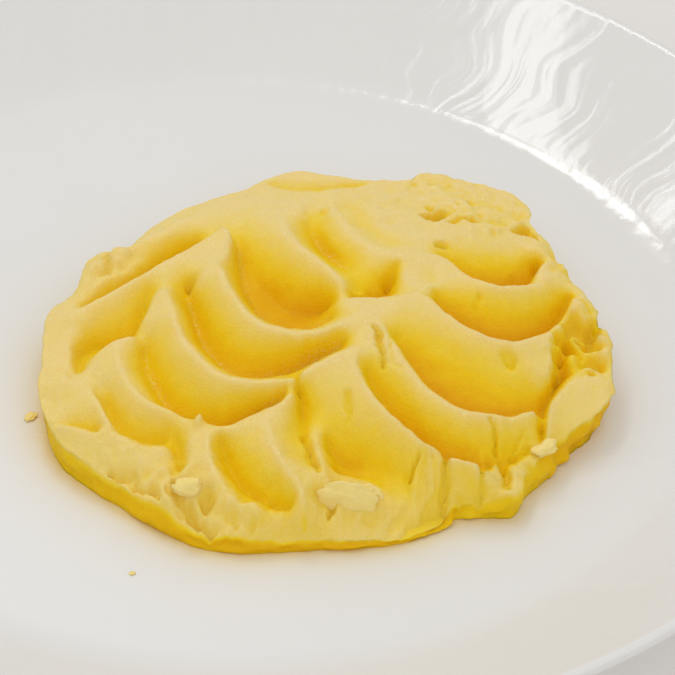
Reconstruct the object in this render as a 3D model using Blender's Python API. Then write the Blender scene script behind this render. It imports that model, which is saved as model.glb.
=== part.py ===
"""A side of mashed potato, swirled with a spoon, on its round white plate.

Frame: metres, +Z up, origin on the plate's axis at the bottom of its foot ring.
The mash lies flat on the plate's floor; -Y is the eater's side.
"""
import math

import bmesh
import bpy
import numpy as np

MM = 0.001

# Plate, millimetres from its axis and from the bottom of its foot ring.
PLATE_RADIUS = 124.0
PLATE_HEIGHT = 26.0
WELL_RADIUS = 90.0          # flat floor inside, where the wall starts
FLOOR_TOP = 7.0
FLOOR_THICKNESS = 4.2
RIM_THICKNESS = 3.6
FOOT_RADIUS = 66.0
FOOT_WIDTH = 5.0
WALL_SWEEP = 1.35           # 1 is a straight cone, more is a dish that steepens outwards
PLATE_SEGMENTS = 72

# Mash, millimetres. Heights are above the plate's floor.
MASH_CENTRE = (17.5, -12.5)
MASH_GAP = 0.3              # clearance under the mash
GRID = 52                   # quads along each side of the mash's top
CELL = 0.8                  # finest cell of the relief map
CREST_SOFTNESS = 2.5        # how slowly the ground drops away beside a crest
ROUNDING = 0.5
WALL_RINGS = 3
# How far the foot stands in under the edge: (degrees round from the right, mm).
UNDERCUT = ((0, 1.5), (130, 0.8), (198, 1.2), (212, -0.2), (235, -1.2), (255, -1.4), (275, -0.4), (330, -1.2),
            (350, 2.3), (360, 1.5))

# Upper edge of the mash all round, anticlockwise from the left: (x, y, height).
EDGE = (
    (-36.5, -28, 9), (-34, -36, 7), (-29, -42.5, 6.3), (-3, -60, 3.2), (5, -61, 3), (24, -59.5, 1.8),
    (33, -57.7, 1.2), (39.5, -54.5, 1.3), (43.5, -50.7, 2.5), (47, -49.9, 4.6), (54.6, -49.4, 6.3),
    (61, -37, 5.8), (70.5, -27.5, 8), (74, -22, 8.5), (74.3, -14, 9), (73, -4, 10), (63.5, 19.5, 12),
    (59.5, 24.5, 12.5), (58, 32, 13), (43, 39, 14.5), (36.5, 39.5, 14.5), (33, 36.5, 14),
    (21.5, 36.5, 14), (11, 38.5, 14), (-9, 28, 12.5), (-17, 21.5, 12), (-24.5, 12, 11.5),
    (-29, 10.5, 11.3), (-31, 7, 11.2), (-32.7, -2.5, 10.7), (-36, -6, 10.2), (-36.4, -22, 9.5),
)

# Crests that the spoon pushed up, and creases where its edge ran: (x, y, height).
CRESTS = {
    "back_left_rim": ((-31, -3.5, 11.8), (-27.8, 5.5, 13.3), (-24.3, 8.7, 14.3), (-19, 11.5, 15),
                      (-6, 22, 15.5), (0, 28, 15)),
    "straight_ridge": ((-34, -12, 12), (-26.5, -7.6, 15), (-4.8, 8.6, 20.3)),
    "ridge_knob": ((-5, 8.6, 20.3), (-3.2, 9.9, 21), (-1.8, 7.6, 20.7), (-3.5, -0.9, 20)),
    "left_rim": ((-33.5, -11.5, 11.5), (-31, -21.5, 10.5), (-31, -26.5, 10)),
    "left_panel": ((-31.5, -29, 11), (-25.5, -32, 12), (-20.5, -41.5, 11)),
    "left_flange": ((-33, -38.5, 8), (-24, -42, 9.3), (-19.5, -42.5, 10), (-14, -45, 9.5),
                    (-11, -45, 10), (-9.5, -47, 9)),
    "left_outer_shoulder": ((-17.3, -18.1, 14.9), (-23.5, -20.9, 14.3), (-26, -24.6, 12.5)),
    "left_outer": ((-22.3, -22, 14.9), (-20.2, -29, 14.2), (-16.6, -34.5, 13.5), (-13.9, -36.7, 13.3),
                   (-7.9, -39, 13)),
    "left_middle_shoulder": ((-14.2, -6.5, 18), (-16.3, -16.2, 15.5)),
    "left_middle": ((-13.9, -6, 18.3), (-10.4, -19.3, 18.2), (-6.7, -26.7, 17.9), (-1.9, -32, 17.5),
                    (1.1, -33.5, 17.4), (8.1, -34.2, 17.8), (15.1, -31.3, 18.8), (22.6, -26.2, 20.4)),
    "left_inner": ((-3.4, -1.7, 20.7), (0.6, -13.3, 20.5), (5.1, -19.5, 20.3), (8.1, -21.5, 20.3),
                   (14.1, -22.8, 20.5), (18.1, -21.7, 20.9), (27.1, -16.3, 21.5)),
    "left_heart": ((1, 28, 14.5), (8.3, 15, 19), (10, 8, 20.8), (13.3, 2.5, 21.5), (22.3, -7.7, 20.5)),
    "back_lip": ((3.5, 32, 13.7), (11.5, 30.5, 14.5), (19.5, 31.5, 14.5), (26, 34, 14.2)),
    "back_fold_one": ((11, 24, 17), (12.5, 19, 17.7)),
    "back_fold_two": ((17.5, 24.5, 17), (22, 12, 19.2), (25, 7.5, 19.7), (29, 4.5, 19.7)),
    "back_fold_three": ((26.5, 28, 16), (27.5, 20.5, 17.3), (30, 15, 18), (34, 12.5, 18.3)),
    "right_back": ((31, 12.5, 18.5), (44.5, 15.5, 17.3), (54, 21, 14.5)),
    "right_back_rim": ((58.7, 4, 15.2), (62.3, 13.5, 14), (59.5, 23, 13)),
    "right_inner": ((29, 3.5, 19.7), (41, 5, 19), (44.5, 0, 19), (48.5, -2, 18.7), (52.5, -2.3, 18),
                    (58, 1, 16.3), (66.5, 11.5, 12.5)),
    "right_middle": ((29, -12.5, 20.5), (37, -10.3, 21), (41, -14.3, 20.3), (47.5, -18, 18.8),
                     (53.5, -18.3, 17.3), (58.5, -15.3, 15.7), (63, -9.7, 14.5), (67.7, 1.5, 12.8)),
    "right_outer": ((28, -18, 21), (37.7, -33.3, 16.8), (44, -36.3, 15.2), (52, -35.8, 13.7),
                    (59.5, -31.3, 11.7)),
    "right_front": ((24, -25.5, 21), (24.3, -30.5, 19.3), (29.7, -38.3, 16.3), (37.3, -44.3, 13.7),
                    (43, -46.5, 11.7), (49, -47, 10)),
    "right_flange": ((66.5, -21, 10.5), (61, -31, 10), (61.5, -38.5, 8.5)),
    "right_rim": ((68, 6.5, 12), (72.5, -6, 11), (72.5, -21.5, 10)),
    "front_tops": ((-7.5, -40.5, 13), (-5, -40, 13.3), (1, -42.7, 13.3), (11.5, -37.7, 17),
                   (13, -35, 18.3)),
    "front_left": ((-3.2, -42, 13.3), (-1.7, -51, 11.5), (0, -54, 10.2), (3, -56.7, 9.2),
                   (8.5, -59, 7.3)),
    "front_middle": ((7.5, -40, 15.8), (10, -49, 14), (14.5, -55.5, 11.5), (16.3, -59.3, 7)),
    "front_flake": ((21, -50.3, 6.5), (25, -49.7, 7.7), (29, -51.3, 6.5)),
}
CREASES = {
    "back_left_groove": ((-29.5, -6.3, 9.7), (-15, 7, 9), (-11.5, 10.5, 9.5), (-8.5, 12.5, 11.5)),
    "left_pocket": ((-28.5, -24.5, 8.7), (-29.5, -19.5, 7.5), (-28.5, -16, 7.3), (-26, -14.7, 7.3),
                    (-20.3, -14.5, 7.7), (-18.3, -12.5, 9), (-16.5, -4.5, 14.3)),
    "under_left_rim": ((-24.3, -30, 9), (-21.3, -36.5, 7.5), (-18.3, -39.7, 7), (-11, -41, 7)),
    "under_left_outer": ((-17, -17.5, 11.7), (-13.7, -28, 9), (-11, -33, 8.3), (-7, -36.5, 8),
                         (-2, -38, 8), (3, -37.5, 8.5), (8, -35.5, 10.5), (10.5, -34, 13)),
    "under_left_middle": ((-9.3, -3.5, 14), (-7, -13.5, 12), (-4.5, -19.5, 11.7), (-1, -24.3, 11.5),
                          (4, -26.7, 11.7), (10.5, -26, 12.3), (21.5, -21.5, 16.5)),
    "under_left_inner": ((-1.5, 18, 16.3), (1.2, 1, 13.5), (2.7, -4.5, 13), (5.5, -9, 12.7),
                         (8.5, -12.5, 12.7), (13.5, -14.5, 13), (19, -13.3, 15.5)),
    "heart_floor": ((3, 3, 14.7), (4.5, -0.5, 13.3), (11, -7, 12.2), (15, -8, 12.3), (18.7, -8, 13.5)),
    "under_left_heart": ((12.5, 20, 15.6), (17.3, 9.3, 14.3), (22.5, 1.5, 17)),
    "under_back_fold_two": ((16, 21.5, 16), (19, 9.5, 17.3), (22.5, 5.3, 17.7)),
    "under_back_fold_three": ((22, 26, 15.6), (23.5, 19, 16.5), (26.5, 14, 17.2), (31, 10, 17.8)),
    "middle_hole": ((22.7, -7.7, 16.5), (27.5, -6, 13.3), (29.3, -3.2, 13.3), (31.2, 2.7, 17.2)),
    "under_right_inner": ((40.5, 8.5, 16), (46.5, 3.3, 11), (50.5, 2, 9), (55, 3.3, 8.5),
                          (58.5, 7.5, 8.7), (60, 12.5, 10)),
    "under_right_middle": ((39, -5, 16.5), (41.3, -8.3, 13.5), (47, -12.5, 11.2), (53, -12.5, 10),
                           (59, -9.5, 9), (63.5, -4, 8.7), (66.7, 3, 9.5)),
    "under_right_outer": ((31.7, -18.7, 17), (34.5, -23, 13.5), (39.5, -28.3, 10.7), (46, -31, 9),
                          (53, -30.7, 8), (59.5, -26.5, 7.5), (63, -21, 7.7)),
    "under_right_front": ((26.5, -28, 16), (28.5, -32, 13.3), (33, -37.5, 10.3), (39, -41.7, 8),
                          (46, -43.3, 6.5), (51.5, -42, 6), (57.5, -38.3, 6.7)),
    "under_right_flange": ((65, -17.5, 7), (61.3, -24.5, 6.5), (60.2, -29.5, 5.9), (60.5, -37, 6.3)),
    "front_left_notch": ((-9, -41, 8.5), (-7.5, -49, 6.3)),
    "under_front_left": ((-0.5, -43, 10), (0.5, -46, 8), (6, -53, 5.5), (13, -56, 5)),
    "under_front_middle": ((13, -31.3, 14.7), (14, -35, 12.3), (17, -48, 9.8)),
    "front_pocket": ((19.5, -42, 9), (23.3, -44.5, 6.3), (28.5, -45.3, 7.4), (34, -47.5, 7)),
}


def clear_scene():
    for old in list(bpy.data.objects):
        bpy.data.objects.remove(old)


def smooth_line(points, step=0.4, closed=False):
    """Catmull-Rom curve through the points, sampled about every step."""
    p = np.array(points, float)
    if closed:
        p = np.vstack([p[-1], p, p[:2]])
    else:
        p = np.vstack([2 * p[0] - p[1], p, 2 * p[-1] - p[-2]])
    pieces = []
    for a, b, c, d in zip(p, p[1:], p[2:], p[3:]):
        t = np.linspace(0, 1, max(2, int(np.linalg.norm(c - b) / step)), endpoint=False)[:, None]
        pieces.append(0.5 * (2 * b + (c - a) * t + (2 * a - 5 * b + 4 * c - d) * t**2
                             + (3 * b - a - 3 * c + d) * t**3))
    return np.vstack(pieces + ([] if closed else [p[-2:-1]]))


class Relief:
    """Height map of the mash, from skins stretched over the edge, the crests and the creases."""

    MARGIN = 8.0

    def __init__(self, cell):
        edge = smooth_line(EDGE, closed=True)
        self.low = edge[:, :2].min(0) - self.MARGIN
        self.span = edge[:, :2].max(0) + self.MARGIN - self.low
        crests = np.vstack([smooth_line(line) for line in CRESTS.values()])
        creases = np.vstack([smooth_line(line) for line in CREASES.values()])
        fall = edge.copy()
        outward = edge[:, :2] - np.array(MASH_CENTRE)
        fall[:, :2] += outward / np.linalg.norm(outward, axis=1)[:, None] * self.MARGIN * 0.6
        fall[:, 2] -= self.MARGIN * 0.6
        border = np.vstack([edge, fall])
        share = np.vstack([self.level(crests, 1), self.level(border, 1), self.level(creases, 0)])
        ridges = self.membrane(np.vstack([crests, border]), cell)
        hollows = self.membrane(np.vstack([creases, border]), cell)
        rise = np.clip(self.membrane(share, cell), 0, 1)
        drop = (ridges - hollows) * (1 - rise)
        deepest = np.maximum(ridges - hollows, 0.001)
        soft = CREST_SOFTNESS * np.minimum(1, deepest / 4)
        drop = np.where(drop > 0, drop**2 / (np.abs(drop) + soft) * (deepest + soft) / deepest, drop)
        self.height = self.blur(ridges - drop, ROUNDING)

    def places(self, points):
        return np.rint((points[:, 1::-1] - self.low[::-1]) / self.cell).astype(int).T

    @staticmethod
    def level(points, value):
        """The same plan points, all at one height."""
        return np.column_stack([points[:, :2], np.full(len(points), float(value))])

    def membrane(self, lines, cell):
        """Heights of a skin stretched between the lines, relaxed on finer and finer grids."""
        self.cell, self.height = 8 * cell, None
        while True:
            self.relax(lines)
            if self.cell <= cell * 1.001:
                return self.height
            self.cell /= 2

    def relax(self, lines, passes=160, hurry=1.7):
        rows, columns = (np.ceil(self.span[::-1] / self.cell).astype(int) + 1)
        total, count = np.zeros((rows, columns)), np.zeros((rows, columns))
        at = self.places(lines)
        np.add.at(total, tuple(at), lines[:, 2])
        np.add.at(count, tuple(at), 1)
        pinned = count > 0
        y, x = np.mgrid[:rows, :columns] * self.cell
        if self.height is None:
            height = np.full((rows, columns), lines[:, 2].mean())
        else:
            height = self.sample(x + self.low[0], y + self.low[1], self.cell * 2)
        height[pinned] = total[pinned] / count[pinned]
        colour = np.add.outer(np.arange(rows), np.arange(columns)) % 2
        for _ in range(passes):
            for parity in (0, 1):
                padded = np.pad(height, 1, mode="edge")
                mean = (padded[2:, 1:-1] + padded[:-2, 1:-1] + padded[1:-1, 2:] + padded[1:-1, :-2]) / 4
                free = (colour == parity) & ~pinned
                height[free] += hurry * (mean - height)[free]
        self.height = height

    def sample(self, x, y, cell=None):
        """Bilinear height at plan positions."""
        cell = cell or self.cell
        rows, columns = self.height.shape
        u = np.clip((x - self.low[0]) / cell, 0, columns - 1.001)
        v = np.clip((y - self.low[1]) / cell, 0, rows - 1.001)
        i, j = v.astype(int), u.astype(int)
        a, b = v - i, u - j
        h = self.height
        return ((h[i, j] * (1 - b) + h[i, j + 1] * b) * (1 - a)
                + (h[i + 1, j] * (1 - b) + h[i + 1, j + 1] * b) * a)

    def blur(self, field, radius):
        reach = max(1, int(3 * radius / self.cell))
        kernel = np.exp(-0.5 * (np.arange(-reach, reach + 1) * self.cell / radius) ** 2)
        kernel /= kernel.sum()
        for axis in (0, 1):
            padded = np.pad(field, [(reach, reach) if a == axis else (0, 0) for a in (0, 1)], mode="edge")
            field = sum(w * np.take(padded, np.arange(k, k + field.shape[axis]), axis)
                        for k, w in enumerate(kernel))
        return field


def disc_grid(count):
    """A square grid of points bent into the unit disc, with quads for its faces."""
    side = np.linspace(-1, 1, count + 1)
    v, u = np.meshgrid(side, side, indexing="ij")
    x, y = u * np.sqrt(1 - v**2 / 2), v * np.sqrt(1 - u**2 / 2)
    k = np.arange((count + 1) ** 2).reshape(count + 1, count + 1)
    quads = np.stack([k[:-1, :-1], k[:-1, 1:], k[1:, 1:], k[1:, :-1]], -1).reshape(-1, 4)
    ring = np.concatenate([k[0, :-1], k[:-1, -1], k[-1, :0:-1], k[:0:-1, 0]])
    return x.ravel(), y.ravel(), quads, ring


def mash_mesh():
    """Top from the relief, sides drawn in or spread at the foot, and a flat underside."""
    relief = Relief(CELL)
    edge = smooth_line(EDGE, closed=True)
    centre = np.array(MASH_CENTRE)
    out = edge[:, :2] - centre
    angle, reach = np.arctan2(out[:, 1], out[:, 0]), np.linalg.norm(out, axis=1)
    order = np.argsort(angle)
    x, y, quads, ring = disc_grid(GRID)
    share, turn = np.hypot(x, y), np.arctan2(y, x)
    radius = np.interp(turn, angle[order], reach[order], period=2 * math.pi)
    top = np.stack([centre[0] + share * radius * np.cos(turn),
                    centre[1] + share * radius * np.sin(turn)], 1)
    height = np.maximum(relief.sample(top[:, 0], top[:, 1]), 1.2)
    points = [np.column_stack([top, height])]
    faces = [tuple(q) for q in quads.tolist()]
    rim, last = points[0][ring], ring
    outward = np.column_stack([np.cos(turn[ring]), np.sin(turn[ring])])
    undercut = np.interp(np.degrees(turn[ring]) % 360, *zip(*UNDERCUT))
    for k in range(1, WALL_RINGS + 1):
        drop = k / WALL_RINGS
        inset = undercut * math.sin(drop * math.pi / 2)
        level = rim[:, 2] * (1 - drop) + MASH_GAP * drop
        here = np.column_stack([rim[:, :2] - outward * inset[:, None], level])
        start = sum(len(p) for p in points)
        points.append(here)
        new = np.arange(start, start + len(ring))
        faces += [(int(a), int(b), int(c), int(d)) for a, b, c, d in
                  zip(last, new, np.roll(new, -1), np.roll(last, -1))]
        last = new
    faces.append(tuple(int(i) for i in last[::-1]))
    return np.vstack(points), faces


def material(name, colour, roughness):
    finish = bpy.data.materials.new(name)
    finish.use_nodes = True
    shader = finish.node_tree.nodes["Principled BSDF"]
    shader.inputs["Base Color"].default_value = (*colour, 1)
    shader.inputs["Roughness"].default_value = roughness
    shader.inputs["Metallic"].default_value = 0
    return finish


def add_object(name, mesh, finish):
    thing = bpy.data.objects.new(name, mesh)
    bpy.context.scene.collection.objects.link(thing)
    mesh.materials.append(finish)
    return thing


def build_mash():
    points, faces = mash_mesh()
    points[:, 2] += FLOOR_TOP
    mesh = bpy.data.meshes.new("mash")
    mesh.from_pydata((points * MM).tolist(), [], faces)
    bm = bmesh.new()
    bm.from_mesh(mesh)
    bmesh.ops.recalc_face_normals(bm, faces=bm.faces)
    bmesh.ops.triangulate(bm, faces=bm.faces)
    bm.to_mesh(mesh)
    bm.free()
    mesh.shade_smooth()
    return add_object("mash", mesh, material("mash_yellow", (0.83, 0.56, 0.14), 0.5))


def plate_profile():
    """Half section from the axis on top, out over the rim and back along the underside."""
    wall = []
    for t in np.linspace(0, 1, 8):
        wall.append((WELL_RADIUS + t * (PLATE_RADIUS - 2 - WELL_RADIUS),
                     FLOOR_TOP + (PLATE_HEIGHT - 0.4 - FLOOR_TOP) * t**WALL_SWEEP))
    lip = [(PLATE_RADIUS - 1, PLATE_HEIGHT), (PLATE_RADIUS - 0.1, PLATE_HEIGHT - 0.5),
           (PLATE_RADIUS, PLATE_HEIGHT - 1.6)]
    under = [(r + 0.3, z - RIM_THICKNESS) for r, z in wall[:0:-2]]
    foot_out, foot_in = FOOT_RADIUS + FOOT_WIDTH / 2, FOOT_RADIUS - FOOT_WIDTH / 2
    below = FLOOR_TOP - FLOOR_THICKNESS
    foot = [(foot_out + 4, below), (foot_out, 0.6), (foot_out - 0.6, 0), (foot_in + 0.6, 0),
            (foot_in, 0.6), (foot_in - 1.5, below)]
    return [(0, FLOOR_TOP), (WELL_RADIUS / 2, FLOOR_TOP)] + wall + lip + under + foot + [(0, below)]


def build_plate():
    bm = bmesh.new()
    chain = [bm.verts.new((r * MM, 0, z * MM)) for r, z in plate_profile()]
    edges = [bm.edges.new(pair) for pair in zip(chain, chain[1:])]
    bmesh.ops.spin(bm, geom=chain + edges, cent=(0, 0, 0), axis=(0, 0, 1),
                   angle=2 * math.pi, steps=PLATE_SEGMENTS)
    bmesh.ops.remove_doubles(bm, verts=bm.verts, dist=0.00001)
    bmesh.ops.recalc_face_normals(bm, faces=bm.faces)
    mesh = bpy.data.meshes.new("plate")
    bm.to_mesh(mesh)
    bm.free()
    mesh.shade_smooth()
    return add_object("plate", mesh, material("plate_white", (0.86, 0.85, 0.83), 0.1))


def main():
    clear_scene()
    build_plate()
    build_mash()


main()
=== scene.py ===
"""Looks for the side of mashed potato on its white plate: mash, crumbs, glaze, light and camera."""
import math

import bmesh
import bpy
import numpy as np
from mathutils import Matrix, Vector, noise


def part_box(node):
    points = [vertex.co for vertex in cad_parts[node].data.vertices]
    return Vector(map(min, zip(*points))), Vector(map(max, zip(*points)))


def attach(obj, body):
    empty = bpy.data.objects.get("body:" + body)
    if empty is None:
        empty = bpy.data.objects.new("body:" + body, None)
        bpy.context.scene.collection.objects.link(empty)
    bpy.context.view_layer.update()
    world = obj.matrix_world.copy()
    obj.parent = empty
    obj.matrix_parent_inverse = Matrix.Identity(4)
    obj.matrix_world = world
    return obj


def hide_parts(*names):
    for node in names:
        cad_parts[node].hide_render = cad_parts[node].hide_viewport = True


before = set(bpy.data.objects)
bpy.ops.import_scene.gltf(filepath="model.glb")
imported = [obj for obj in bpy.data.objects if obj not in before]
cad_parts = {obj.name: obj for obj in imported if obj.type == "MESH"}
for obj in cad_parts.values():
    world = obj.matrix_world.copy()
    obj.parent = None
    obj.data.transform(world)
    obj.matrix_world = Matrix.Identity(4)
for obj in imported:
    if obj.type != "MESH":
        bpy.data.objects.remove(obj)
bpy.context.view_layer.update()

MM = 0.001
PLATE_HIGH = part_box("plate")[1]
PLATE_RADIUS = PLATE_HIGH.x / MM
PLATE_HEIGHT = PLATE_HIGH.z / MM
MASH_GAP = 0.3
FLOOR_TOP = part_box("mash")[0].z / MM - MASH_GAP
WELL_RADIUS = 90.0          # flat floor inside, where the wall starts
FLOOR_THICKNESS = 4.2
RIM_THICKNESS = 3.6
FOOT_RADIUS = 66.0
FOOT_WIDTH = 5.0
WALL_SWEEP = 1.35           # 1 is a straight cone, more is a dish that steepens outwards

RIPPLES = 26.0     # waves of the glaze round the wall, per radian
SWAY = 5.0         # how far they wander from straight out
FILLET = (86.5, 95.5)   # where the floor turns up into the wall

MASH_CENTRE = (17.5, -12.5)
GRID = 280
CELL = 0.4
CREST_SOFTNESS = (2.5, 3.8)   # how slowly the ground drops beside a crest: on the left, on the right
BACK_SHARPNESS = 0.2          # share of that softness on the far side of a crest
ROUNDING = 0.3
END_ROUNDING = 0.9
WALL_RINGS = 14
WALL_SHADE = 0.5
OPEN_HOLLOW = 0.08     # share of the sky shut out on an open crest, and in a deep scoop
DEEP_HOLLOW = 0.48
DEEP = 8.0             # depth under the crests at which the painted shade, full gold, is reached
# How far the foot stands in under the edge: (degrees round from the right, mm).
UNDERCUT = ((0, 1.5), (60, 0.5), (130, 0.8), (172, 0.8), (190, 0.6), (198, 1.2), (205, 0.8), (212, -0.2),
            (222, -1), (235, -1.2), (255, -1.2), (275, -0.4), (298, -0.2), (305, -0.6), (316, 0),
            (330, -1.2), (342, 1), (350, 2.3), (360, 1.5))
# How ragged the edge and the wall are: (degrees round from the right, share).
RAGGED = ((0, 1.7), (60, 1.8), (85, 1.2), (120, 0.8), (150, 1), (175, 0.9), (195, 0.4), (290, 0.35),
          (310, 0.9), (340, 1.2), (360, 1.7))
# Painted shade on the wall under the edge, deep gold where it is full: (degrees round from the right, 0 to
# 1).
WALL_UNDER_SHADE = ((0, 0.45), (90, 0.4), (165, 0.6), (190, 0.95), (262, 0.95), (298, 0.6), (308, 0.25),
             (322, 0.25), (335, 0.45), (360, 0.45))

# Upper edge of the mash all round, anticlockwise from the left: (x, y, height above the floor).
EDGE = (
    (-36.5, -28, 9), (-34, -36, 7), (-29, -42.5, 6.3), (-21.5, -48, 5.2), (-12, -55, 4.2), (-3, -60, 3.2),
    (5, -61, 3), (15, -60, 2.5), (24, -59.5, 1.8), (33, -57.7, 1.2), (39.5, -54.5, 1.3),
    (43.5, -50.7, 2.5), (47, -49.9, 4.6), (51, -49.8, 5.6), (54.6, -49.4, 6.3), (55.6, -47.5, 6.4),
    (57, -43.5, 6), (61, -37, 5.8), (65, -32.5, 6.8), (70.5, -27.5, 8), (74, -22, 8.5), (74.3, -14, 9),
    (73, -4, 10), (70, 4, 10.3), (66.3, 12, 11), (63.5, 19.5, 12), (59.5, 24.5, 12.5), (58, 32, 13),
    (50, 36.5, 14), (43, 39, 14.5), (36.5, 39.5, 14.5), (33, 36.5, 14), (21.5, 36.5, 14), (11, 38.5, 14),
    (5, 36, 13.5), (-1, 32, 13), (-9, 28, 12.5), (-17, 21.5, 12), (-22, 14.5, 11.5), (-24.5, 12, 11.5),
    (-29, 10.5, 11.3), (-31, 7, 11.2), (-31.7, 2, 11), (-32.7, -2.5, 10.7), (-36, -6, 10.2),
    (-37, -11, 10), (-36.8, -17, 9.7), (-36.4, -22, 9.5),
)

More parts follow.
